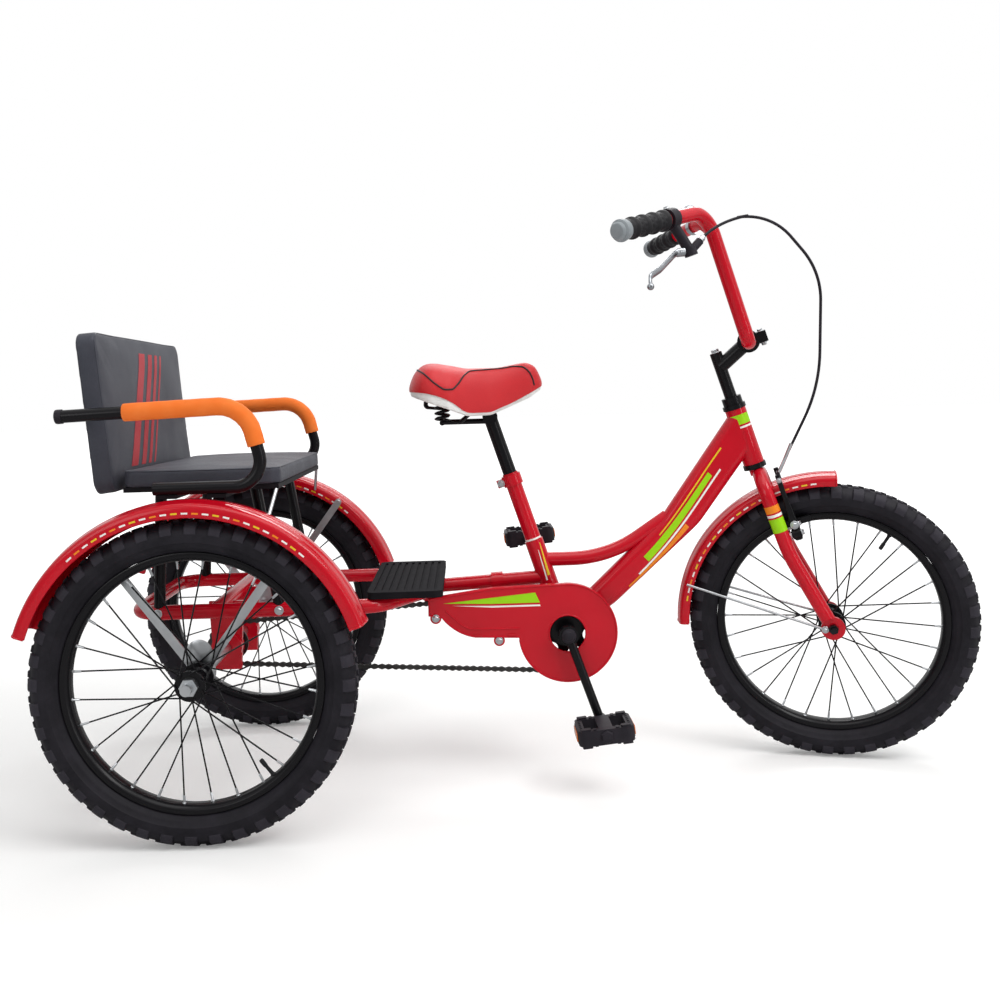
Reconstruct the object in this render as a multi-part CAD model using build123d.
"""Pedal tricycle with a rear passenger bench, in millimetres, +X forward, +Y left, +Z up.

The sizes run from the rear axle (X = 0) and the ground (Z = 0). place() then moves every
piece so that the origin lies under the middle of the whole tricycle.
"""

import math
import os

from build123d import *

# Whole vehicle
WHEELBASE = 1098.0
TRACK = 600.0
X_MIDDLE = 537.21
FIT = 0.1
RUNNING = 0.5

# Wheels: 20 x 2.125 tyres on 28-spoke steel rims
BEAD_R = 204.6
BEAD_HALF = 13.0
TYRE_SECTION = 50.4
TYRE_R = BEAD_R + TYRE_SECTION
TYRE_HALF = 27.0
TYRE_LUGS = 32
LUG_SHARE = 0.58
LUG_DEPTH = 4.0
SHOULDER_DROP = 9.0
SHOULDER_R = TYRE_R - SHOULDER_DROP
WIDEST_RISE = 23.4
WIDEST_R = BEAD_R + WIDEST_RISE
CROWN_HALF = 9.0
BEAD_SEAT = 0.4
RIM_OUT_R = BEAD_R - BEAD_SEAT
RIM_DEPTH = 13.9
RIM_IN_R = RIM_OUT_R - RIM_DEPTH
RIM_HALF = BEAD_HALF + 2.0
RIM_BED_HALF = 8.0
RIM_SIDE = 8.2
RIM_SHOULDER_R = RIM_OUT_R - RIM_SIDE
SPOKES = 28
SPOKE_R = 1.1
SPOKE_SWEEP = 52.0
SPOKE_OUT = 1.8
FLANGE_R = 24.0
FLANGE_T = 3.0
FLANGE_EDGE = 4.0
SPOKE_HOLE_R = FLANGE_R - FLANGE_EDGE
HUB_R = 15.0
HUB_HALF = 30.0
FLANGE_Y = HUB_HALF - 4.0
AXLE_Z = TYRE_R * math.cos(math.pi * LUG_SHARE / TYRE_LUGS)

# Mudguards: crown, ridge and turned-down skirt with a rolled edge
GUARD_SHEET = 2.0
GUARD_ROLL = 2.2
RIDGE_HALF = 9.0
RIDGE_RISE = 1.5
REAR_GUARD_GAP = 30.0
REAR_GUARD_R = TYRE_R + REAR_GUARD_GAP
REAR_GUARD_SIDE = 8.0
REAR_GUARD_HALF = TYRE_HALF + REAR_GUARD_SIDE
REAR_GUARD_SPAN = 72.0
REAR_SKIRT = 24.0
FRONT_GUARD_GAP = 23.0
FRONT_GUARD_R = TYRE_R + FRONT_GUARD_GAP
FRONT_GUARD_SIDE = 5.0
FRONT_GUARD_HALF = TYRE_HALF + FRONT_GUARD_SIDE
FRONT_SKIRT = 21.0
FRONT_GUARD_FROM = 70.5
FRONT_GUARD_TO = 163.5
FRONT_STAY_R = 2.3
FRONT_STAY_ANGLE = 147.0
STAY_W = 14.0
STAY_T = 3.0
STAY_ANGLE = 36.5
STAY_PLATE = (34.0, 54.0)
BRACKET_LEN = 25.0
BRACKET_R = 20.0
ROD_R = 3.0
ROD_ANGLE = 65.0

# Fork and front axle, in the steering frame (u forward, v left, w up the axis)
BLADE_R = 13.0
BLADE_V = TYRE_HALF + BLADE_R + 10.0
CROWN_U = 4.0
CROWN_W = FRONT_GUARD_R + BLADE_R + 9.0
CROWN_BEND = 45.0
KNEE_U = 8.0
KNEE_W = 150.0
KNEE_BEND = 250.0
DROPOUT_T = 6.0
DROPOUT_R = 15.0
FRONT_AXLE_R = 5.0
FRONT_AXLE_HALF = 66.0
AXLE_NUT_R = 9.0
AXLE_NUT_T = 8.0

# Steering head and its axis
HEAD_ANGLE = 72.0
RAKE = 38.0
STEER_REST = -15.5
FRONT_RISE = 0.609
CUP_R = 21.0
CUP_H = 8.0
CUP_GAP = 0.4
HEAD_LOW = CROWN_W + BLADE_R + CUP_H
HEAD_LEN = 106.0
HEAD_HIGH = HEAD_LOW + HEAD_LEN
HEAD_R = 19.0
HEAD_BORE_R = 16.0
LOCKNUT_R = 18.0
LOCKNUT_H = 14.6
LOCKNUT_LOW = HEAD_HIGH + CUP_GAP + CUP_H
LOCKNUT_HIGH = LOCKNUT_LOW + LOCKNUT_H
STEERER_R = 12.7
STEERER_HIGH = LOCKNUT_HIGH - 4.0

# Stem and handlebar, in the steering frame
QUILL_R = 11.1
EXTENSION_R = 13.0
EXTENSION_RISE = 59.0
EXTENSION_W = LOCKNUT_HIGH + EXTENSION_RISE
QUILL_OVER = 27.0
QUILL_HIGH = EXTENSION_W + QUILL_OVER
BAR_U = 62.0
BAR_W = EXTENSION_W + 28.0
BAR_R = 12.5
BAR_LOW_V = 84.0
BAR_TOP_U = 66.0
BAR_TOP_V = 92.0
BAR_HEIGHT = 241.0
BAR_TOP_W = BAR_W + BAR_HEIGHT
BAR_END_U = -67.0
BAR_END_V = 310.0
BAR_LOW_BEND = 26.0
BAR_TOP_BEND = 45.0
CLAMP_R = BAR_R + 7.5
CLAMP_HALF = 21.0
CLAMP_EAR = 34.0
GRIP_R = BAR_R + 4.0
GRIP_LEN = 125.0
GRIP_RINGS = 5
GRIP_RING_R = GRIP_R + 1.8
GRIP_RING_W = 9.0
GRIP_CAP_R = GRIP_R - 2.0
GRIP_CAP_T = 8.0

# Brake lever, bell and cable, in the steering frame
LEVER_S = GRIP_LEN + 18.0
LEVER_CLAMP_R = BAR_R + 5.5
LEVER_CLAMP_T = 20.0
LEVER_DROP = 62.0
LEVER_FWD = 14.0
LEVER_BODY_R = 9.0
BLADE_BAR_R = 5.0
BELL_S = 196.0
BELL_R = 16.0
BELL_RISE = 24.0
CABLE_R = 2.5
CABLE_BENDS = (120.0, 100.0, 140.0, 300.0, 10.0)
PULL_WIRE_R = 1.5

# Front brake, in the steering frame
BRAKE_U = 33.0
BRAKE_LOW_W = 170.0
BRAKE_HIGH_W = CROWN_W - 6.0
BRAKE_V = BLADE_V - 7.0
BRAKE_ARM_T = 10.0
BRAKE_ARM_W = 15.0
PAD_GAP = 2.0
PAD_T = 12.0
PAD_LEN = 52.0
PAD_H = 10.0
PAD_R = RIM_OUT_R - 5.2

# Frame tubes (side view points are X, Z)
BB_X = 604.0
BB_Z = 259.0
BB_R = 22.0
BB_HALF = 34.0
SEAT_LEAN = 18.0
POST_R = 12.5
SEAT_HIGH_R = POST_R + 2.0
SEAT_LOW_R = SEAT_HIGH_R + 2.5
SEAT_LOW_LEN = 168.0
SEAT_TUBE_LEN = 299.0
SEAT_CLAMP_R = SEAT_HIGH_R + 3.5
SEAT_CLAMP_LEN = 20.0
POST_FROM = SEAT_TUBE_LEN - 59.0
POST_OUT = 125.0
POST_LEN = SEAT_TUBE_LEN + POST_OUT
MAIN_HALF = 18.0
MAIN_FLAT = 2.0
MAIN_ROUND = MAIN_HALF - MAIN_FLAT
MAIN_BEND = 140.0
# Main tube edges: share of the way from bottom bracket to head, and height over that line
MAIN_UPPER = ((0.0116, 14.2), (0.5436, 7.2), (1.0431, 49.7))
MAIN_LOWER = ((0.9571, -26.1), (0.6394, -49.9), (0.1996, -39.3), (-0.0189, -19.1))
TOP_R = 12.7
TOP_RISE = 123.0
TOP_FLAT = 86.0
TOP_CLIMB = (196.0, 196.0)
TOP_BEND = 230.0
RAIL_R = 12.5
RAIL_Z = 336.0
CENTRE_R = 12.5
CENTRE_X = 322.0
CENTRE_Z = RAIL_Z + 0.5
CENTRE_END_Z = CENTRE_Z + 13.5
COLLAR_X = 483.0
COLLAR_R = CENTRE_R + 3.5
COLLAR_HALF = 11.0
RAIL_Y = 158.0
RAIL_REAR_X = -135.0
RAIL_BEND_X = 275.0
RAIL_JOIN_X = 370.0
RAIL_JOIN_Y = 10.0
RAIL_REAR_BEND = 45.0
RAIL_FRONT_BEND = 60.0
REAR_TUBE_Y = 92.0
STAY_TUBE_R = 11.0
STAY_TUBE_X = CENTRE_X + 16.0
STAY_TUBE_BEND = 190.0
CARRIER_Y = 70.0
CARRIER_T = 8.0
CARRIER_TOP = 30.0
CARRIER_LOW = 24.0
BEARING_R = 27.0
BEARING_HALF = 11.0

# Drive: 36 to 18 teeth on half-inch chain
PITCH = 12.7
RING_TEETH = 36
SPROCKET_TEETH = 18
CHAIN_Y = -BB_HALF - 11.0
CHAIN_W = 8.0
CHAIN_H = 9.0
LINK_WAIST = 1.6
CHAIN_CLEAR = 0.6
RING_T = 3.5
RING_HOLES = 6
RING_HOLE_R = 12.0
RING_HOLE_PCD_R = 42.0
SPINDLE_R = 10.0
CRANK_LEN = 158.0
CRANK_ANGLE = -71.0
CRANK_R = 8.0
CRANK_BOSS_R = 17.0
CRANK_EYE_R = 12.0
CRANK_EYE_T = 14.0
PEDAL_PIN_R = 6.0
PEDAL_LEN = 95.0
PEDAL_WIDE = 78.0
PEDAL_GAP = 7.0
PEDAL_T = 26.0
PEDAL_BAR = 12.0
PEDAL_BARREL_R = 12.0
PEDAL_TILT = 6.0
CASE_X = BB_X + 1.0
CASE_Z = BB_Z + 1.0
CASE_GAP = 10.6
CASE_HOLE_R = 33.0
CASE_Y = CHAIN_Y - 23.0
CASE_SHEET = 2.0
CASE_LIP = 12.0
# Chain case tail: back from the bottom bracket and up from it
CASE_TAIL_HIGH = ((246.0, 69.0), (133.0, 85.0))
CASE_TAIL_LOW = ((164.0, -2.0), (196.0, 10.0), (223.0, 34.0), (247.0, 38.0))
CASE_CLIPS = (159.0, 99.0)
CASE_EARS = ((234.0, 34.0), (122.0, -9.0))
CASE_EAR_R = 10.0
CRANK_IN_Y = CASE_SHEET - CASE_Y + 14.0
CRANK_OUT_Y = CRANK_IN_Y + 12.0
PEDAL_Y = CRANK_OUT_Y + CRANK_EYE_T / 2 + PEDAL_GAP + PEDAL_WIDE / 2
REAR_AXLE_R = 8.5
AXLE_FREE = 15.5
REAR_AXLE_HALF = TRACK / 2 + HUB_HALF + RUNNING + AXLE_NUT_T + AXLE_FREE

# Saddle, from the top of the seat post
SADDLE_REAR = -142.0
SADDLE_NOSE = 102.0
SADDLE_REAR_R = 46.0
SADDLE_REAR_Y = 56.0
SADDLE_NOSE_R = 22.0
SADDLE_WAIST = 32.0
SADDLE_WAIST_HALF = 38.0
SADDLE_WAIST_R = 112.0
SADDLE_BASE_T = 9.0
# Saddle side view: forward of the post's top and up from it
SADDLE_UPPER = ((-153.0, 75.8), (-111.0, 86.8), (-21.0, 74.8), (62.0, 83.8), (112.0, 65.8))
SADDLE_LOWER = ((112.0, 49.8), (67.0, 31.8), (19.0, 7.8), (-25.0, 1.8), (-81.0, 21.8), (-153.0, 43.8))
SPRING_BACK = 82.0
SPRING_DROP = 22.2
SPRING_Y = 50.0
SPRING_R = 14.0
SPRING_H = 44.0
SPRING_TURNS = 4
SPRING_BAR_R = 5.0

# Passenger bench
STRAP_T = 6.0
STRAP_W = 30.0
STRAP_XS = (-33.0, 44.0)
GUARD_SEAT = 0.413
PAN_Z = AXLE_Z + REAR_GUARD_R + GUARD_SEAT + STRAP_T
PAN_T = 8.0
PAN_REAR_X = -122.0
PAN_FRONT_X = 128.0
CUSHION_T = 32.0
CUSHION_REAR_X = -127.0
CUSHION_FRONT_X = 133.0
CUSHION_ROUND = 11.0
BACK_T = 36.0
BACK_TUCK = 1.5
BACK_LOW_X = CUSHION_REAR_X - BACK_TUCK
BACK_LOW_Z = PAN_Z - 1.0
BACK_H = 266.0
BACK_LEAN = 5.2
BACK_ROUND = 10.0
BACK_CORNER = 22.0
LEG_R = 9.5
LEG_TOP_REAR_X = -82.0
LEG_LOW_REAR_X = -92.0
LEG_TOP_FRONT_X = 76.0
LEG_LOW_FRONT_X = 111.0
ARM_R = 10.0
ARM_IN = 3.0
ARM_Y = TRACK / 2 - ARM_IN
ARM_CLEAR = 42.0
BACK_HALF = ARM_Y - ARM_R - ARM_CLEAR
CUSHION_HALF = BACK_HALF - 7.0
PAN_HALF = CUSHION_HALF - 8.0
ARM_TAIL = 13.0
ARM_RISE = 126.0
ARM_REAR_Z = PAN_Z + ARM_RISE
ARM_TOP_X = 92.0
ARM_TOP_Z = ARM_REAR_Z + 11.0
ARM_LOW_X = 124.0
ARM_TOP_BEND = 55.0
ARM_LOW_BEND = 40.0
ARM_FOOT_X = -53.0
SLEEVE_R = ARM_R + 4.0
SLEEVE_REAR_X = -95.0
SLEEVE_END = 0.5
CROSSBAR_R = 9.5
CROSSBAR_FLAT = 0.7

# Footrest
FOOT_REAR_X = 258.0
FOOT_FRONT_X = 386.0
FOOT_HALF = 165.0
FOOT_T = 11.5
FOOT_RIBS = 9
FOOT_RIB_W = 5.0
FOOT_RIB_DEEP = 2.5

# Derived values
HEAD_SIN = math.sin(math.radians(HEAD_ANGLE))
HEAD_COS = math.cos(math.radians(HEAD_ANGLE))
FRONT_Z = AXLE_Z + FRONT_RISE
HEAD_FOOT = (WHEELBASE - RAKE * HEAD_SIN, 0.0, FRONT_Z - RAKE * HEAD_COS)
HEAD_PLANE = Plane(origin=HEAD_FOOT, x_dir=(HEAD_SIN, 0, HEAD_COS), z_dir=(-HEAD_COS, 0, HEAD_SIN))
HEAD_FRAME = HEAD_PLANE.location
STEERED = HEAD_FRAME * Rot(0, 0, STEER_REST)
RING_R = PITCH / (2 * math.sin(math.pi / RING_TEETH))
SPROCKET_R = PITCH / (2 * math.sin(math.pi / SPROCKET_TEETH))
SEAT_PLANE = Plane(
    origin=(BB_X, 0, BB_Z),
    x_dir=(math.cos(math.radians(SEAT_LEAN)), 0, math.sin(math.radians(SEAT_LEAN))),
    z_dir=(-math.sin(math.radians(SEAT_LEAN)), 0, math.cos(math.radians(SEAT_LEAN))),
)
SEAT_FRAME = SEAT_PLANE.location
CRANK_FRAME = Pos(BB_X, 0, BB_Z) * Rot(0, -CRANK_ANGLE, 0)
POST_TOP = (SEAT_FRAME * Pos(0, 0, POST_LEN)).position
SEAT_SLOPE = math.tan(math.radians(SEAT_LEAN))
CASE_R = RING_R + CHAIN_H / 2 + CASE_GAP
BACK_SLOPE = math.tan(math.radians(BACK_LEAN))
BACK_DEEP = BACK_T / math.cos(math.radians(BACK_LEAN))
BACK_REAR_X = BACK_LOW_X - BACK_DEEP - (ARM_REAR_Z - BACK_LOW_Z) * BACK_SLOPE
CROSSBAR_X = BACK_REAR_X - CROSSBAR_R + CROSSBAR_FLAT
ARM_REAR_X = CROSSBAR_X - ARM_TAIL
LONG = 2000.0


def bent_path(points, bends):
    """A path of straight runs with a tangent arc of the given radius at each inner corner."""
    knots = [Vector(*p) for p in points]
    pieces = []
    start = knots[0]
    for before, corner, after, bend in zip(knots, knots[1:], knots[2:], bends):
        back = (before - corner).normalized()
        ahead = (after - corner).normalized()
        half = math.radians(back.get_angle(ahead)) / 2
        reach = bend / math.tan(half)
        middle = (back + ahead).normalized() * (bend / math.sin(half) - bend)
        pieces.append(Line(start, corner + back * reach))
        pieces.append(ThreePointArc(corner + back * reach, corner + middle, corner + ahead * reach))
        start = corner + ahead * reach
    pieces.append(Line(start, knots[-1]))
    return Wire([edge for piece in pieces for edge in piece.edges()])


def tube(points, radius, *bends):
    """A round bar swept along bent_path."""
    path = bent_path(points, bends)
    return sweep(Plane(origin=path @ 0, z_dir=path % 0) * Circle(radius), path=path)


def rod(start, end, radius):
    """A straight round bar between two points."""
    return tube((start, end), radius)


def drum(radius, y_from, y_to, x=0.0, z=0.0):
    """A cylinder along Y."""
    return Pos(x, (y_from + y_to) / 2, z) * Rot(90, 0, 0) * Cylinder(radius, abs(y_to - y_from))


def side_sheet(outline, y_from, y_to):
    """A side view outline (a sketch in X, Z drawn on XY) extruded along Y."""
    solid = extrude(outline, amount=abs(y_to - y_from))
    return Pos(0, max(y_from, y_to), 0) * Rot(90, 0, 0) * solid


def polygon(points):
    """A closed sketch through the points."""
    return make_face(Polyline(*points, close=True))


def mirrored(shape):
    """The shape on the other side of the tricycle."""
    return mirror(shape, about=Plane.XZ)


def ring_solid(steps, about):
    """A ring about Y made of flat facets.

    steps lists (start angle, profile) around the ring and each profile lists (radius, y). Profiles
    differ in one unbroken run of points, and a flat wall closes the ring where they change.
    """

    def at(angle, point):
        return Vector(
            about[0] + point[0] * math.cos(angle), about[1] + point[1], about[2] + point[0] * math.sin(angle)
        )

    faces = []
    for index, (angle, profile) in enumerate(steps):
        last = index + 1 == len(steps)
        until = steps[0][0] + 2 * math.pi if last else steps[index + 1][0]
        for one, two in zip(profile, profile[1:] + profile[:1]):
            corners = [at(angle, one), at(angle, two), at(until, two), at(until, one)]
            faces.append(Face(Wire.make_polygon(corners, close=True)))
        before = steps[index - 1][1]
        changed = [i for i, (a, b) in enumerate(zip(before, profile)) if a != b]
        if changed:
            first, final = changed[0], changed[-1]
            loop = before[first - 1 : final + 2] + profile[final : first - 1 : -1]
            faces.append(Face(Wire.make_polygon([at(angle, p) for p in loop], close=True)))
    solid = Solid(Shell(faces))
    return solid if solid.volume > 0 else -solid


def both_sides(half_profile):
    """A profile mirrored about the wheel's plane."""
    return [(r, -y) for r, y in half_profile] + [(r, y) for r, y in reversed(half_profile)]


def tyre(about):
    """A knobbly tyre: lug and groove turn by turn, half a lug either side of the ground point."""
    lug = both_sides(
        [(BEAD_R, BEAD_HALF), (WIDEST_R, TYRE_HALF), (SHOULDER_R, TYRE_HALF - 2), (TYRE_R, CROWN_HALF)]
    )
    groove = both_sides(
        [
            (BEAD_R, BEAD_HALF),
            (WIDEST_R, TYRE_HALF),
            (SHOULDER_R - LUG_DEPTH, TYRE_HALF - LUG_DEPTH),
            (TYRE_R - LUG_DEPTH, CROWN_HALF),
        ]
    )
    pitch = 2 * math.pi / TYRE_LUGS
    steps = []
    for index in range(TYRE_LUGS):
        start = -math.pi / 2 + (index - LUG_SHARE / 2) * pitch
        steps.append((start, lug))
        steps.append((start + LUG_SHARE * pitch, groove))
    return ring_solid(steps, about)


def rim(about):
    """A plain box rim."""
    half = [(RIM_IN_R, RIM_BED_HALF), (RIM_SHOULDER_R, RIM_HALF), (RIM_OUT_R, RIM_HALF)]
    profile = make_face(Polyline(*[(r, y) for r, y in both_sides(half)], close=True))
    turned = revolve(profile, axis=Axis.Y)
    return Pos(*about) * turned


def spokes(about):
    """Spokes laced from both flanges, leading and trailing by turns."""
    out = []
    clear_y = {1: FLANGE_T / 2 + SPOKE_R + SPOKE_OUT, -1: -FLANGE_T / 2 - SPOKE_R - FIT / 2}
    for index in range(SPOKES):
        rim_angle = math.radians(360.0 / SPOKES * (index + 0.5))
        side = 1 if index % 2 else -1
        lead = 1 if (index // 2) % 2 else -1
        hub_angle = rim_angle + math.radians(SPOKE_SWEEP) * lead
        start = (
            SPOKE_HOLE_R * math.cos(hub_angle),
            side * (FLANGE_Y + clear_y[lead]),
            SPOKE_HOLE_R * math.sin(hub_angle),
        )
        end_r = RIM_IN_R - 4 * FIT
        end = (end_r * math.cos(rim_angle), side * 3.0, end_r * math.sin(rim_angle))
        line = Line(start, end)
        section = Plane(origin=line @ 0, z_dir=line % 0) * RegularPolygon(SPOKE_R, 6)
        out.append(Pos(*about) * extrude(section, amount=line.length))
    return out


def hub(about, bore):
    """A hub shell with two spoke flanges."""
    shell = drum(HUB_R, -HUB_HALF, HUB_HALF)
    for side in (-1, 1):
        shell += drum(FLANGE_R, side * FLANGE_Y - FLANGE_T / 2, side * FLANGE_Y + FLANGE_T / 2)
    shell -= drum(bore, -LONG, LONG)
    return Pos(*about) * shell


def mudguard(crown_r, half, skirt, from_deg, to_deg):
    """A pressed mudguard about Y, between two angles from +X.

    The crown carries a raised ridge, the sides turn down as a skirt and its edge is rolled inward.
    """
    crown = crown_r - RIDGE_RISE
    outer = [
        (crown_r - skirt, half),
        (crown - half / 4, half),
        (crown - half / 18, half * 0.8),
        (crown, RIDGE_HALF + 2 * RIDGE_RISE),
        (crown_r, RIDGE_HALF),
    ]
    inner = [(r - (GUARD_SHEET if i else 0), y - GUARD_SHEET) for i, (r, y) in enumerate(outer)]
    points = [(r, -y) for r, y in outer] + [(r, y) for r, y in reversed(outer)]
    points += [(r, y) for r, y in inner] + [(r, -y) for r, y in reversed(inner)]
    section = make_face(Polyline(*points, close=True))
    for side in (-1, 1):
        section += Pos(crown_r - skirt, side * (half - GUARD_ROLL)) * RegularPolygon(GUARD_ROLL, 8)
    return revolve(Rot(0, -to_deg, 0) * section, axis=Axis.Y, revolution_arc=to_deg - from_deg)


def place(shape):
    """Moves a piece from the rear axle's X to the middle of the tricycle."""
    return Pos(-X_MIDDLE, 0, 0) * shape


def save(name, *shapes):
    """Writes one node, whose like pieces stay separate solids."""
    solids = [place(solid) for shape in shapes for solid in shape.solids()]
    export_step(solids[0] if len(solids) == 1 else Compound(solids), f"parts/{name}.step")


os.makedirs("parts", exist_ok=True)

# Wheels
for name, y in (("rear_right", -TRACK / 2), ("rear_left", TRACK / 2)):
    centre = (0, y, AXLE_Z)
    save(f"{name}_tyre", tyre(centre))
    save(f"{name}_rim", rim(centre))
    save(f"{name}_spokes", *spokes(centre))
    save(f"{name}_hub", hub(centre, REAR_AXLE_R + (FIT if y < 0 else RUNNING)))
front_centre = (RAKE, 0, 0)
half_lug = math.degrees(math.pi * LUG_SHARE / TYRE_LUGS)
front_turn = Pos(*front_centre) * Rot(0, HEAD_ANGLE - 90 - half_lug, 0)
save("front_tyre", STEERED * front_turn * tyre((0, 0, 0)))
save("front_rim", STEERED * rim(front_centre))
save("front_spokes", *[STEERED * bar for bar in spokes(front_centre)])
save("front_hub", STEERED * hub(front_centre, FRONT_AXLE_R + RUNNING))

# Rear axle with its end nuts, turned by the driven right wheel
rear_axle = drum(REAR_AXLE_R, -REAR_AXLE_HALF, REAR_AXLE_HALF, 0, AXLE_Z)
for side in (-1, 1):
    inner = TRACK / 2 + HUB_HALF + (FIT if side < 0 else RUNNING)
    nut = Pos(0, side * (inner + AXLE_NUT_T / 2), AXLE_Z) * Rot(90, 0, 0)
    rear_axle += nut * extrude(RegularPolygon(REAR_AXLE_R + 6, 6), amount=AXLE_NUT_T / 2, both=True)
save("rear_axle", rear_axle)

# Steering head
head_tube = HEAD_FRAME * Pos(0, 0, (HEAD_LOW + HEAD_HIGH) / 2) * Cylinder(HEAD_R, HEAD_HIGH - HEAD_LOW)
head_bore = HEAD_FRAME * Cylinder(HEAD_BORE_R, LONG)
head_skin = HEAD_FRAME * Pos(0, 0, (HEAD_LOW + HEAD_HIGH) / 2) * Cylinder(HEAD_R + FIT / 2, LONG)
save("head_tube", head_tube - head_bore)

# Bottom bracket and seat tube
bb_shell = drum(BB_R, -BB_HALF, BB_HALF, BB_X, BB_Z)
save("bottom_bracket", bb_shell - drum(SPINDLE_R + RUNNING, -LONG, LONG, BB_X, BB_Z))
seat_low = SEAT_FRAME * Pos(0, 0, SEAT_LOW_LEN / 2) * Cylinder(SEAT_LOW_R, SEAT_LOW_LEN)
seat_high = SEAT_FRAME * Pos(0, 0, SEAT_TUBE_LEN / 2) * Cylinder(SEAT_HIGH_R, SEAT_TUBE_LEN)
seat_outer = seat_low + seat_high
post_bore = SEAT_FRAME * Pos(0, 0, POST_FROM + LONG / 2) * Cylinder(POST_R + FIT, LONG)
clamp_mid = SEAT_TUBE_LEN - SEAT_CLAMP_LEN / 2 - 3
seat_clamp = SEAT_FRAME * Pos(0, 0, clamp_mid) * Cylinder(SEAT_CLAMP_R, SEAT_CLAMP_LEN)
ear = SEAT_FRAME * Pos(-SEAT_CLAMP_R - 4, 0, clamp_mid) * Box(14, 16, SEAT_CLAMP_LEN - 6)
clamp_slot = SEAT_FRAME * Pos(-SEAT_CLAMP_R - SEAT_HIGH_R, 0, clamp_mid) * Box(2 * SEAT_CLAMP_R, 3, LONG)
save("seat_tube", seat_outer + seat_clamp + (ear - clamp_slot) - bb_shell - post_bore)

# Main tube: a deep oval from the head, bent and tapering to the bottom bracket
head_mid = (HEAD_FRAME * Pos(0, 0, (HEAD_LOW + HEAD_HIGH) / 2)).position
main_low = Vector(BB_X, BB_Z)
main_run = Vector(head_mid.X, head_mid.Z) - main_low
main_up = main_run.normalized().rotate(Axis.Z, 90)


def on_main(share, height):
    """A point of the main tube's side view."""
    return main_low + main_run * share + main_up * height


main_sketch = polygon([on_main(*row) for row in MAIN_UPPER + MAIN_LOWER])
bend_points = [on_main(*row) for row in MAIN_UPPER[1:-1] + MAIN_LOWER[1:-1]]
main_bends = [v for v in main_sketch.vertices() if min((v.center() - b).length for b in bend_points) < FIT]
main_solid = side_sheet(fillet(main_bends, MAIN_BEND), -MAIN_HALF, MAIN_HALF)
end_points = [on_main(*row) for row in (MAIN_UPPER[0], MAIN_UPPER[-1], MAIN_LOWER[0], MAIN_LOWER[-1])]
end_middles = [(end_points[0] + end_points[3]) / 2, (end_points[1] + end_points[2]) / 2]
main_long = []
for edge in main_solid.edges():
    middle = Vector(edge.center().X, edge.center().Z)
    if abs(abs(edge.center().Y) - MAIN_HALF) < FIT and min((middle - m).length for m in end_middles) > FIT:
        main_long.append(edge)
main_tube = fillet(main_long, MAIN_ROUND)
save("main_tube", main_tube - head_skin - bb_shell - seat_outer)

# Top tube, centre tube with its coupling and the lower stay
top_z = BB_Z + TOP_RISE
top_points = (
    (BB_X - TOP_RISE * SEAT_SLOPE, 0, top_z),
    (BB_X + TOP_FLAT, 0, top_z),
    (BB_X + TOP_CLIMB[0], 0, BB_Z + TOP_CLIMB[1]),
)
save("top_tube", tube(top_points, TOP_R, TOP_BEND) - seat_outer - main_tube)
centre_end_x = BB_X - (CENTRE_END_Z - BB_Z) * SEAT_SLOPE
centre_tube = rod((CENTRE_X, 0, CENTRE_Z), (centre_end_x, 0, CENTRE_END_Z), CENTRE_R)
centre_slope = math.degrees(math.atan2(CENTRE_END_Z - CENTRE_Z, centre_end_x - CENTRE_X))
collar_z = CENTRE_Z + (COLLAR_X - CENTRE_X) * math.tan(math.radians(centre_slope))
collar = Pos(COLLAR_X, 0, collar_z) * Rot(0, 90 - centre_slope, 0) * Cylinder(COLLAR_R, 2 * COLLAR_HALF)
save("centre_tube", centre_tube + collar - seat_outer)
low_stay = tube(
    ((BB_X, 0, BB_Z), (BB_X - STAY_TUBE_BEND, 0, BB_Z + 2), (STAY_TUBE_X, 0, CENTRE_Z)),
    STAY_TUBE_R,
    RAIL_FRONT_BEND,
)
save("lower_stay", low_stay - bb_shell - seat_outer - centre_tube)

# Rear rails, rear tube, axle cross tube and axle carriers
rail_right = tube(
    (
        (RAIL_JOIN_X, -RAIL_JOIN_Y, RAIL_Z),
        (RAIL_BEND_X, -RAIL_Y, RAIL_Z),
        (RAIL_REAR_X, -RAIL_Y, RAIL_Z),
        (RAIL_REAR_X, -REAR_TUBE_Y, RAIL_Z),
    ),
    RAIL_R,
    RAIL_FRONT_BEND,
    RAIL_REAR_BEND,
)
rail_right = rail_right - centre_tube - low_stay
rail_left = mirrored(rail_right)
save("right_rail", rail_right)
save("left_rail", rail_left)
save("rear_tube", rod((RAIL_REAR_X, -REAR_TUBE_Y, RAIL_Z), (RAIL_REAR_X, REAR_TUBE_Y, RAIL_Z), RAIL_R))
cross_tube = rod((0, -RAIL_Y, RAIL_Z), (0, RAIL_Y, RAIL_Z), RAIL_R)
carrier_outline = polygon(
    [(-CARRIER_TOP, RAIL_Z), (CARRIER_TOP, RAIL_Z), (CARRIER_LOW, AXLE_Z - 40), (-CARRIER_LOW, AXLE_Z - 40)]
)
carriers = cross_tube - rail_right - rail_left
for side in (-1, 1):
    plate = side_sheet(carrier_outline, side * CARRIER_Y - CARRIER_T / 2, side * CARRIER_Y + CARRIER_T / 2)
    plate += drum(BEARING_R, side * CARRIER_Y - BEARING_HALF, side * CARRIER_Y + BEARING_HALF, 0, AXLE_Z)
    plate -= drum(REAR_AXLE_R + RUNNING, -LONG, LONG, 0, AXLE_Z)
    carriers += plate
save("axle_carriers", carriers)

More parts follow.
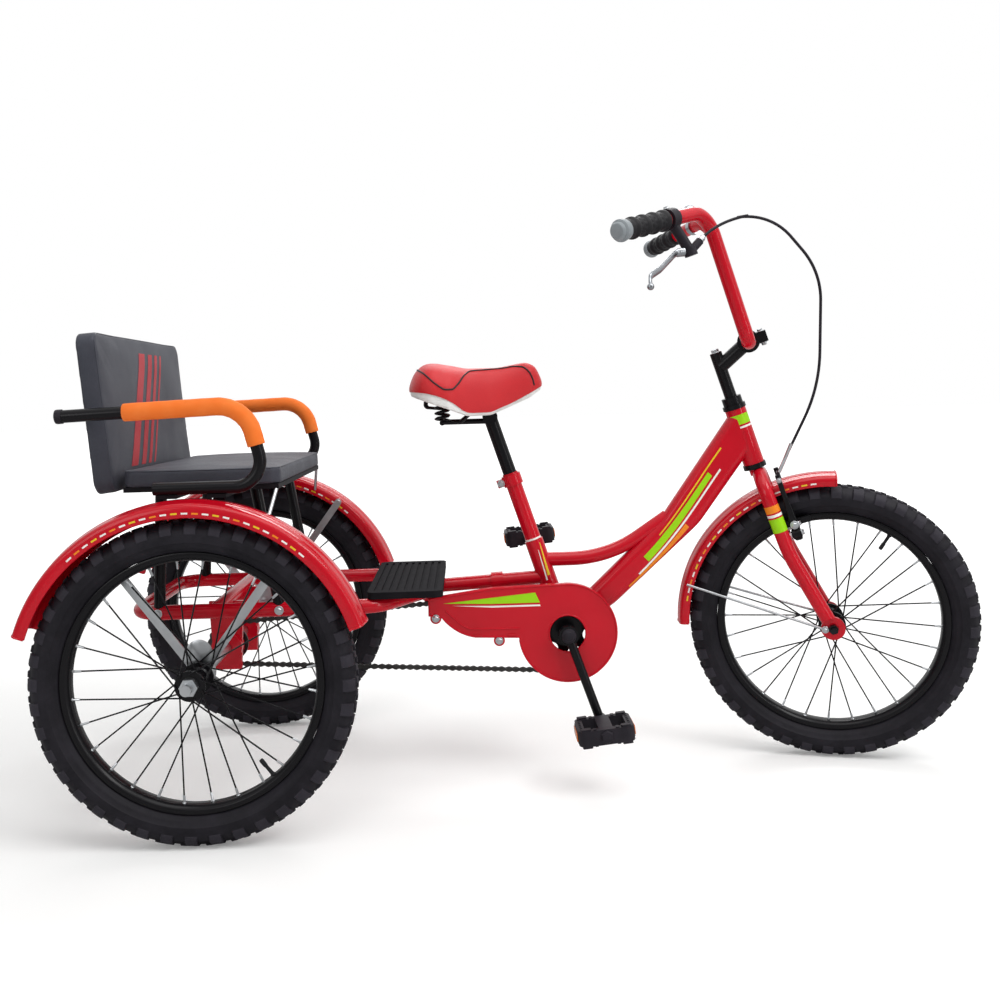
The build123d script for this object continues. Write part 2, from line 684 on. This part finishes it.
# Fork, front axle and headset
blade_points = (
    (RAKE, -BLADE_V, 0),
    (KNEE_U, -BLADE_V, KNEE_W),
    (CROWN_U, -BLADE_V, CROWN_W),
    (CROWN_U, BLADE_V, CROWN_W),
    (KNEE_U, BLADE_V, KNEE_W),
    (RAKE, BLADE_V, 0),
)
fork = tube(blade_points, BLADE_R, KNEE_BEND, CROWN_BEND, CROWN_BEND, KNEE_BEND)
fork -= drum(DROPOUT_R + 6, -LONG, LONG, RAKE, 0)
for side in (-1, 1):
    flat = side * BLADE_V
    fork += drum(DROPOUT_R + 6, flat - DROPOUT_T / 2, flat + DROPOUT_T / 2, RAKE, 0)
fork -= drum(FRONT_AXLE_R + FIT, -LONG, LONG, RAKE, 0)
fork += Pos(0, 0, (CROWN_W + STEERER_HIGH) / 2) * Cylinder(STEERER_R, STEERER_HIGH - CROWN_W)
save("fork", STEERED * fork)
front_axle = drum(FRONT_AXLE_R, -FRONT_AXLE_HALF, FRONT_AXLE_HALF, RAKE, 0)
for side in (-1, 1):
    nut = Pos(RAKE, side * (BLADE_V + (DROPOUT_T + AXLE_NUT_T) / 2), 0) * Rot(90, 0, 0)
    front_axle += nut * extrude(RegularPolygon(AXLE_NUT_R, 6), amount=AXLE_NUT_T / 2, both=True)
    cone = BLADE_V - DROPOUT_T / 2
    front_axle += drum(AXLE_NUT_R, side * (HUB_HALF + RUNNING), side * cone, RAKE, 0)
save("front_axle", STEERED * front_axle)
crown_top = CROWN_W + BLADE_R - 1.0
lower_cup = Pos(0, 0, (crown_top + HEAD_LOW - CUP_GAP) / 2) * Cylinder(CUP_R, HEAD_LOW - CUP_GAP - crown_top)
upper_cup = Pos(0, 0, HEAD_HIGH + CUP_GAP + CUP_H / 2) * Cylinder(CUP_R, CUP_H)
locknut = Pos(0, 0, (LOCKNUT_LOW + LOCKNUT_HIGH) / 2) * Cylinder(LOCKNUT_R, LOCKNUT_H)
cap_bore = Pos(0, 0, STEERER_HIGH + LONG / 2) * Cylinder(QUILL_R + FIT, LONG)
steerer_bore = Pos(0, 0, STEERER_HIGH - LONG / 2) * Cylinder(STEERER_R + FIT, LONG)
lower_headset = lower_cup - steerer_bore - fork
upper_headset = upper_cup + locknut - steerer_bore - cap_bore
save("headset", STEERED * lower_headset, STEERED * upper_headset)

# Stem and handlebar
bar_points = [
    (BAR_END_U, -BAR_END_V, BAR_TOP_W),
    (BAR_TOP_U, -BAR_TOP_V, BAR_TOP_W),
    (BAR_U, -BAR_LOW_V, BAR_W),
    (BAR_U, BAR_LOW_V, BAR_W),
    (BAR_TOP_U, BAR_TOP_V, BAR_TOP_W),
    (BAR_END_U, BAR_END_V, BAR_TOP_W),
]
handlebar = tube(bar_points, BAR_R, BAR_TOP_BEND, BAR_LOW_BEND, BAR_LOW_BEND, BAR_TOP_BEND)
save("handlebar", STEERED * handlebar)
stem = Pos(0, 0, (STEERER_HIGH + QUILL_HIGH) / 2) * Cylinder(QUILL_R, QUILL_HIGH - STEERER_HIGH)
stem += rod((0, 0, EXTENSION_W), (BAR_U, 0, BAR_W), EXTENSION_R)
stem += drum(CLAMP_R, -CLAMP_HALF, CLAMP_HALF, BAR_U, BAR_W)
stem += Pos(BAR_U + CLAMP_EAR / 2, 0, BAR_W) * Box(CLAMP_EAR, 2 * CLAMP_HALF - 8, 20)
stem -= drum(BAR_R + FIT, -LONG, LONG, BAR_U, BAR_W)
save("stem", STEERED * stem)
bar_run = Vector(BAR_TOP_U - BAR_END_U, BAR_END_V - BAR_TOP_V, 0).normalized()


def on_bar(distance, side):
    """The frame at a distance from the bar's end: its Z along the bar towards the middle."""
    inward = Vector(bar_run.X, -side * bar_run.Y, 0)
    origin = Vector(BAR_END_U, side * BAR_END_V, BAR_TOP_W) + inward * distance
    return Plane(origin=origin, x_dir=(0, 0, 1), z_dir=inward).location


grips = []
for side in (-1, 1):
    grip = on_bar(GRIP_LEN / 2, side) * Cylinder(GRIP_R, GRIP_LEN)
    for index in range(GRIP_RINGS):
        ring_at = GRIP_RING_W / 2 + (GRIP_LEN - GRIP_RING_W) * index / (GRIP_RINGS - 1)
        grip += on_bar(ring_at, side) * Cylinder(GRIP_RING_R, GRIP_RING_W)
    grip += on_bar(-GRIP_CAP_T / 2, side) * Cylinder(GRIP_CAP_R, GRIP_CAP_T)
    grips.append(STEERED * (grip - on_bar(LONG / 2, side) * Cylinder(BAR_R + FIT, LONG)))
save("grips", *grips)

# Brake lever bracket and blade
lever_at = on_bar(LEVER_S, -1)
lever_mid = lever_at.position
pivot = lever_mid + Vector(LEVER_FWD, 4, -LEVER_DROP)
bracket = lever_at * Cylinder(LEVER_CLAMP_R, LEVER_CLAMP_T)
bracket += rod(lever_mid, pivot, LEVER_BODY_R)
bracket += rod(pivot, pivot + Vector(20, 12, 12), LEVER_BODY_R - 2)
bracket += Pos(*pivot) * Cylinder(LEVER_BODY_R + 2, 14)
save("brake_bracket", STEERED * (bracket - on_bar(0, -1) * Cylinder(BAR_R + FIT, 2 * LONG)))
cable_start = pivot + Vector(20, 12, 12)
knee = pivot + Vector(-22, -14, 5)
blade = tube((pivot, knee, pivot + Vector(-64, -96, -22)), BLADE_BAR_R, 14)
save("brake_blade", STEERED * (blade - bracket))

# Bell
bell_mid = on_bar(BELL_S, 1).position
bell = on_bar(BELL_S, 1) * (Cylinder(BAR_R + 3, 12) - Cylinder(BAR_R + FIT, 12))
bell += Pos(bell_mid.X, bell_mid.Y, bell_mid.Z + BAR_R + BELL_RISE / 2) * Cylinder(4, BELL_RISE - 2)
dome = Sphere(BELL_R) & (Pos(0, 0, BELL_R / 2) * Box(3 * BELL_R, 3 * BELL_R, BELL_R))
bell += Pos(bell_mid.X, bell_mid.Y, bell_mid.Z + BAR_R + BELL_RISE - 8) * dome
save("bell", STEERED * (bell - handlebar))

# Front brake: arms, pads and the wire between the arms
arms = []
brake_bodies = Part()
for side in (-1, 1):
    arm = Pos(BRAKE_U, side * BRAKE_V, (BRAKE_LOW_W + BRAKE_HIGH_W) / 2)
    arm = arm * Box(BRAKE_ARM_W, BRAKE_ARM_T, BRAKE_HIGH_W - BRAKE_LOW_W)
    boss = rod((KNEE_U, side * BRAKE_V, BRAKE_LOW_W + 12), (BRAKE_U, side * BRAKE_V, BRAKE_LOW_W + 12), 6)
    pad_v = RIM_HALF + PAD_GAP
    pad = Pos(RAKE, side * (pad_v + PAD_T / 2), PAD_R) * Box(PAD_LEN, PAD_T, PAD_H)
    stud = rod((BRAKE_U, side * pad_v, PAD_R), (BRAKE_U, side * BRAKE_V, PAD_R), 4)
    brake_bodies += arm
    arms.append(STEERED * (arm + boss + pad + stud - fork))
save("brake_arms", *arms)
wire_w = BRAKE_HIGH_W - 6
wire_v = BRAKE_V - BRAKE_ARM_T / 2
pull_wire = rod((BRAKE_U, -wire_v, wire_w), (BRAKE_U, wire_v, wire_w), PULL_WIRE_R)
cable_points = [
    tuple(cable_start),
    (76, -136, 752),
    (164, -118, 736),
    (212, -96, 612),
    (150, -66, 424),
    (BRAKE_U + 24, -BRAKE_V, BRAKE_HIGH_W + 26),
    (BRAKE_U, -BRAKE_V, BRAKE_HIGH_W),
]
cable = tube(cable_points, CABLE_R, *CABLE_BENDS)
save("brake_cable", STEERED * (cable - bracket - brake_bodies), STEERED * pull_wire)

# Front mudguard and its stays
front_guard = Pos(*front_centre) * mudguard(
    FRONT_GUARD_R, FRONT_GUARD_HALF, FRONT_SKIRT, FRONT_GUARD_FROM, FRONT_GUARD_TO
)
save("front_mudguard", STEERED * front_guard)
tab_r = math.hypot(RAKE - CROWN_U, CROWN_W)
tab_angle = math.degrees(math.atan2(CROWN_W, CROWN_U - RAKE))
tab = Rot(0, -tab_angle, 0) * Pos((FRONT_GUARD_R + tab_r) / 2, 0, 0) * Box(tab_r - FRONT_GUARD_R, 14, 14)
front_stays = [Pos(*front_centre) * tab - fork - front_guard]
stay_angle = math.radians(FRONT_STAY_ANGLE)
stay_r = FRONT_GUARD_R - FRONT_SKIRT / 2
for side in (-1, 1):
    upper = (
        RAKE + stay_r * math.cos(stay_angle),
        side * (FRONT_GUARD_HALF + FRONT_STAY_R),
        stay_r * math.sin(stay_angle),
    )
    lower = (RAKE - 14, side * (BLADE_V + DROPOUT_T / 2 + FRONT_STAY_R), 3)
    front_stays.append(rod(lower, upper, FRONT_STAY_R) - fork)
save("front_guard_stays", *[STEERED * stay for stay in front_stays])

# Rear mudguards, stays and the brackets that ride on the axle
guard_from, guard_to = 90 - REAR_GUARD_SPAN, 90 + REAR_GUARD_SPAN
rear_guard = mudguard(REAR_GUARD_R, REAR_GUARD_HALF, REAR_SKIRT, guard_from, guard_to)
stay_y = TRACK / 2 - REAR_GUARD_HALF
strap_len = REAR_GUARD_R - REAR_SKIRT / 2
stays = drum(BRACKET_R, -stay_y, BRACKET_LEN - stay_y, 0, AXLE_Z)
stays += Pos(0, -stay_y + STAY_T / 2, AXLE_Z + BRACKET_R) * Box(STAY_PLATE[0], STAY_T, STAY_PLATE[1])
for angle in (-STAY_ANGLE, STAY_ANGLE):
    strap = Pos(0, -stay_y + STAY_T / 2, strap_len / 2 + 8) * Box(STAY_W, STAY_T, strap_len - 16)
    stays += Pos(0, 0, AXLE_Z) * Rot(0, angle, 0) * strap
stays -= drum(REAR_AXLE_R + RUNNING, -LONG, LONG, 0, AXLE_Z)
for name, side in (("right", -1), ("left", 1)):
    save(f"{name}_mudguard", Pos(0, side * TRACK / 2, AXLE_Z) * rear_guard)

# Passenger bench
pan = Box(PAN_FRONT_X - PAN_REAR_X, 2 * PAN_HALF, PAN_T)
pan = Pos((PAN_REAR_X + PAN_FRONT_X) / 2, 0, PAN_Z + PAN_T / 2) * pan
for strap_x in STRAP_XS:
    pan += Pos(strap_x, 0, PAN_Z - STRAP_T / 2) * Box(STRAP_W, 2 * (ARM_Y + 3), STRAP_T)
save("seat_pan", pan)
rod_r = REAR_GUARD_R - REAR_SKIRT / 2
rod_low = (
    rod_r * math.cos(math.radians(ROD_ANGLE)),
    -stay_y + ROD_R,
    AXLE_Z + rod_r * math.sin(math.radians(ROD_ANGLE)),
)
guard_rod = rod((PAN_FRONT_X - 4, 4 - PAN_HALF, PAN_Z + 1), rod_low, ROD_R) - pan
save("rear_guard_stays", stays, mirrored(stays), guard_rod, mirrored(guard_rod))
cushion_long = CUSHION_FRONT_X - CUSHION_REAR_X
cushion = Box(cushion_long, 2 * CUSHION_HALF, CUSHION_T)
cushion = fillet(cushion.edges().filter_by(Axis.Z), BACK_CORNER)
cushion = fillet(cushion.faces().sort_by(Axis.Z)[-1].edges(), CUSHION_ROUND)
cushion = Pos((CUSHION_REAR_X + CUSHION_FRONT_X) / 2, 0, PAN_Z + PAN_T + CUSHION_T / 2) * cushion
back = Box(BACK_T, 2 * BACK_HALF, BACK_H)
back = fillet(back.edges().filter_by(Axis.X), BACK_CORNER)
back = fillet(back.faces().sort_by(Axis.X)[-1].edges(), BACK_ROUND)
back_frame = Pos(BACK_LOW_X, 0, BACK_LOW_Z) * Rot(0, -BACK_LEAN, 0)
back = back_frame * Pos(-BACK_T / 2, 0, BACK_H / 2) * back
save("seat_cushion", cushion - back)
save("seat_back", back)
legs = []
for top_x, low_x in ((LEG_TOP_REAR_X, LEG_LOW_REAR_X), (LEG_TOP_FRONT_X, LEG_LOW_FRONT_X)):
    leg = rod((low_x, -RAIL_Y, RAIL_Z), (top_x, -RAIL_Y, PAN_Z - 1), LEG_R)
    leg += Pos(top_x, -RAIL_Y, PAN_Z - 1.5) * Box(36, 30, 3)
    leg = leg - rail_right - pan
    legs += [leg, mirrored(leg)]
save("seat_legs", *legs)
arm_low_z = PAN_Z + ARM_R
arm_points = (
    (ARM_REAR_X, -ARM_Y, ARM_REAR_Z),
    (ARM_TOP_X, -ARM_Y, ARM_TOP_Z),
    (ARM_LOW_X, -ARM_Y, arm_low_z),
    (ARM_FOOT_X, -ARM_Y, arm_low_z),
)
arm_tube = tube(arm_points, ARM_R, ARM_TOP_BEND, ARM_LOW_BEND)
arm_slope = (ARM_TOP_Z - ARM_REAR_Z) / (ARM_TOP_X - ARM_REAR_X)
sleeve_rear = (SLEEVE_REAR_X, -ARM_Y, ARM_REAR_Z + arm_slope * (SLEEVE_REAR_X - ARM_REAR_X))
sleeve_end = (
    ARM_TOP_X + SLEEVE_END * (ARM_LOW_X - ARM_TOP_X),
    -ARM_Y,
    ARM_TOP_Z + SLEEVE_END * (arm_low_z - ARM_TOP_Z),
)
sleeve = tube((sleeve_rear, arm_points[1], sleeve_end), SLEEVE_R, ARM_TOP_BEND) - arm_tube
crossbar = rod((CROSSBAR_X, -ARM_Y, ARM_REAR_Z), (CROSSBAR_X, ARM_Y, ARM_REAR_Z), CROSSBAR_R)
save("back_crossbar", crossbar - arm_tube - mirrored(arm_tube) - back)
save("right_arm", arm_tube)
save("left_arm", mirrored(arm_tube))
save("arm_sleeves", sleeve, mirrored(sleeve))

# Footrest
foot_top = RAIL_Z + RAIL_R + FOOT_T
foot_long = FOOT_FRONT_X - FOOT_REAR_X
footrest = Box(foot_long, 2 * FOOT_HALF, FOOT_T)
footrest = fillet(footrest.edges().filter_by(Axis.Z), 12)
footrest = Pos((FOOT_REAR_X + FOOT_FRONT_X) / 2, 0, foot_top - FOOT_T / 2) * footrest
for index in range(FOOT_RIBS):
    rib_x = FOOT_REAR_X + foot_long * (index + 1) / (FOOT_RIBS + 1)
    groove = Box(FOOT_RIB_W, 2 * FOOT_HALF - 40, 2 * FOOT_RIB_DEEP)
    footrest -= Pos(rib_x, 0, foot_top) * groove
save("footrest", footrest - centre_tube)

# Chain, chainring, sprocket, cranks and pedals
drive_long = math.hypot(BB_X, BB_Z - AXLE_Z)
drive_slope = math.degrees(math.atan2(BB_Z - AXLE_Z, BB_X))


def chain_loop(rear_r, front_r):
    """The outline of a belt around two circles, the rear one at the origin."""
    sine = (front_r - rear_r) / drive_long
    cosine = math.sqrt(1 - sine * sine)
    rear_top = (-rear_r * sine, rear_r * cosine)
    ring_top = (drive_long - front_r * sine, front_r * cosine)
    rear_low = (rear_top[0], -rear_top[1])
    ring_low = (ring_top[0], -ring_top[1])
    return make_face(
        [
            Line(rear_top, ring_top),
            ThreePointArc(ring_top, (drive_long + front_r, 0), ring_low),
            Line(ring_low, rear_low),
            ThreePointArc(rear_low, (-rear_r, 0), rear_top),
        ]
    )


def link_outline(rise):
    """The chain's outer edge: full height at each rivet, a waist between rivets."""
    sine = (RING_R - SPROCKET_R) / drive_long
    wrap = math.asin(sine)
    run = drive_long * math.cos(wrap)
    front_arc = RING_R * (math.pi + 2 * wrap)
    rear_arc = SPROCKET_R * (math.pi - 2 * wrap)
    total = 2 * run + front_arc + rear_arc
    count = 2 * round(total / PITCH)
    points = []
    for index in range(count):
        way = total * index / count
        out = rise if index % 2 else rise - LINK_WAIST
        if way < run:
            angle, share = math.pi / 2 + wrap, way / run
            base = SPROCKET_R + (RING_R - SPROCKET_R) * share
            centre = drive_long * share
        elif way < run + front_arc:
            angle, base, centre = math.pi / 2 + wrap - (way - run) / RING_R, RING_R, drive_long
        elif way < 2 * run + front_arc:
            angle, share = -math.pi / 2 - wrap, 1 - (way - run - front_arc) / run
            base = SPROCKET_R + (RING_R - SPROCKET_R) * share
            centre = drive_long * share
        else:
            angle = -math.pi / 2 - wrap - (way - 2 * run - front_arc) / SPROCKET_R
            base, centre = SPROCKET_R, 0.0
        points.append((centre + (base + out) * math.cos(angle), (base + out) * math.sin(angle)))
    return polygon(points)


half_h = CHAIN_H / 2
chain_face = link_outline(half_h) - chain_loop(SPROCKET_R - half_h, RING_R - half_h)
chain = side_sheet(chain_face, CHAIN_Y - CHAIN_W / 2, CHAIN_Y + CHAIN_W / 2)
save("chain", Pos(0, 0, AXLE_Z) * Rot(0, -drive_slope, 0) * chain)
ring_edge = RING_R - half_h - CHAIN_CLEAR
ring = drum(ring_edge, CHAIN_Y - RING_T / 2, CHAIN_Y + RING_T / 2)
ring += drum(CASE_HOLE_R - 6, CHAIN_Y - 7, CHAIN_Y + 7)
for index in range(RING_HOLES):
    angle = 2 * math.pi * index / RING_HOLES
    hole_x = RING_HOLE_PCD_R * math.cos(angle)
    ring -= drum(RING_HOLE_R, -LONG, LONG, hole_x, RING_HOLE_PCD_R * math.sin(angle))
ring -= drum(SPINDLE_R + FIT, -LONG, LONG)
save("chainring", CRANK_FRAME * ring)
sprocket = drum(SPROCKET_R - half_h - CHAIN_CLEAR, CHAIN_Y - RING_T / 2, CHAIN_Y + RING_T / 2)
sprocket += drum(24, CHAIN_Y - 2, CHAIN_Y + 14)
save("sprocket", Pos(0, 0, AXLE_Z) * (sprocket - drum(REAR_AXLE_R + RUNNING, -LONG, LONG)))
cranks = drum(SPINDLE_R, -CRANK_IN_Y, CRANK_IN_Y)
for side in (-1, 1):
    reach = -side * CRANK_LEN
    cranks += drum(CRANK_BOSS_R, side * (CRANK_IN_Y - 8), side * (CRANK_IN_Y + 8))
    cranks += rod((0, side * CRANK_IN_Y, 0), (reach, side * CRANK_OUT_Y, 0), CRANK_R)
    eye = side * CRANK_OUT_Y
    cranks += drum(CRANK_EYE_R, eye - CRANK_EYE_T / 2, eye + CRANK_EYE_T / 2, reach, 0)
    cranks += drum(PEDAL_PIN_R, eye, side * (PEDAL_Y + PEDAL_WIDE / 2 - 4), reach, 0)
save("cranks", CRANK_FRAME * cranks)
pedal = Box(PEDAL_LEN, PEDAL_WIDE, PEDAL_T)
pedal = fillet(pedal.edges().filter_by(Axis.Z), 14)
window = (PEDAL_LEN - 3 * PEDAL_BAR - PEDAL_BARREL_R) / 2
for side in (-1, 1):
    mid = side * (PEDAL_BARREL_R + window / 2)
    pedal -= Pos(mid, 0, 0) * Box(window, PEDAL_WIDE - 2 * PEDAL_BAR, LONG)
pedal += drum(PEDAL_BARREL_R, -PEDAL_WIDE / 2, PEDAL_WIDE / 2)
pedal -= drum(PEDAL_PIN_R + RUNNING, -LONG, LONG)
for name, side in (("right", -1), ("left", 1)):
    at = (CRANK_FRAME * Pos(-side * CRANK_LEN, side * PEDAL_Y, 0)).position
    save(f"{name}_pedal", Pos(at.X, at.Y, at.Z) * Rot(0, -PEDAL_TILT, 0) * pedal)

# Chain case with its clips on the lower stay
start_angle = math.radians(95)
end_angle = math.radians(-177)
middle_angle = (start_angle + end_angle) / 2


def on_case(angle):
    """A point on the chain case's round front."""
    return (CASE_X + CASE_R * math.cos(angle), CASE_Z + CASE_R * math.sin(angle))


high = [(BB_X - back, BB_Z + up) for back, up in CASE_TAIL_HIGH]
low = [(BB_X - back, BB_Z + up) for back, up in CASE_TAIL_LOW]
case_face = make_face(
    [
        Line(high[0], high[1]),
        Line(high[1], on_case(start_angle)),
        ThreePointArc(on_case(start_angle), on_case(middle_angle), on_case(end_angle)),
        Line(on_case(end_angle), low[0]),
        ThreePointArc(*low[:3]),
        Line(low[2], low[3]),
        Line(low[3], high[0]),
    ]
)
case_lip = case_face - offset(case_face, amount=-CASE_SHEET)
case = side_sheet(case_face, CASE_Y - CASE_SHEET, CASE_Y)
case += side_sheet(case_lip, CASE_Y - CASE_SHEET, CASE_Y + CASE_LIP)
case -= drum(CASE_HOLE_R, -LONG, LONG, BB_X, BB_Z)
for back, up in CASE_EARS:
    case += drum(CASE_EAR_R, CASE_Y - CASE_SHEET, CASE_Y, BB_X - back, BB_Z + up)
for back in CASE_CLIPS:
    clip_z = BB_Z + 2 * back / STAY_TUBE_BEND
    clip = Pos(BB_X - back, (CASE_Y - STAY_TUBE_R) / 2, clip_z) * Box(14, -CASE_Y - STAY_TUBE_R + 8, 4)
    case += clip - low_stay
save("chain_case", case)

# Saddle: cover, base and springs
saddle_x, saddle_z = POST_TOP.X, POST_TOP.Z
rear_x = saddle_x + SADDLE_REAR + SADDLE_REAR_R
plan = make_hull(
    [
        *(Pos(rear_x, SADDLE_REAR_Y) * Circle(SADDLE_REAR_R)).edges(),
        *(Pos(rear_x, -SADDLE_REAR_Y) * Circle(SADDLE_REAR_R)).edges(),
        *(Pos(saddle_x + SADDLE_NOSE - SADDLE_NOSE_R, 0) * Circle(SADDLE_NOSE_R)).edges(),
    ]
)
for side in (-1, 1):
    waist_y = side * (SADDLE_WAIST_HALF + SADDLE_WAIST_R)
    plan -= Pos(saddle_x + SADDLE_WAIST, waist_y) * Circle(SADDLE_WAIST_R)
upper = [(saddle_x + x, saddle_z + z) for x, z in SADDLE_UPPER]
lower = [(saddle_x + x, saddle_z + z) for x, z in SADDLE_LOWER]
seam = [(x, z + SADDLE_BASE_T) for x, z in lower]
cover = extrude(plan, amount=LONG) & side_sheet(polygon(upper + seam), -LONG, LONG)
save("saddle_cover", cover)
base_side = polygon(list(reversed(seam)) + lower)
base = extrude(offset(plan, amount=-4), amount=LONG) & side_sheet(base_side, -LONG, LONG)
post_top = SEAT_FRAME * Cylinder(POST_R + FIT, 2 * LONG)
save("saddle_base", base - post_top)
post = SEAT_FRAME * Pos(0, 0, (POST_FROM + POST_LEN) / 2) * Cylinder(POST_R, POST_LEN - POST_FROM)
spring_x, spring_low = saddle_x - SPRING_BACK, saddle_z - SPRING_DROP
post += rod((spring_x, -SPRING_Y, spring_low), (spring_x, SPRING_Y, spring_low), SPRING_BAR_R)
post += rod((spring_x, 0, spring_low), (saddle_x + SPRING_DROP * SEAT_SLOPE, 0, spring_low), SPRING_BAR_R)
step = SPRING_H / SPRING_TURNS
zigzag = [(0, 0)]
for turn in range(SPRING_TURNS):
    zigzag += [(SPRING_R - 4, turn * step), (SPRING_R, (turn + 0.5) * step)]
zigzag += [(SPRING_R - 4, SPRING_H), (0, SPRING_H)]
coil = revolve(Plane.XZ * polygon(zigzag), axis=Axis.Z)
for side in (-1, 1):
    post += Pos(spring_x, side * SPRING_Y, spring_low) * coil - base
save("seat_post", post)
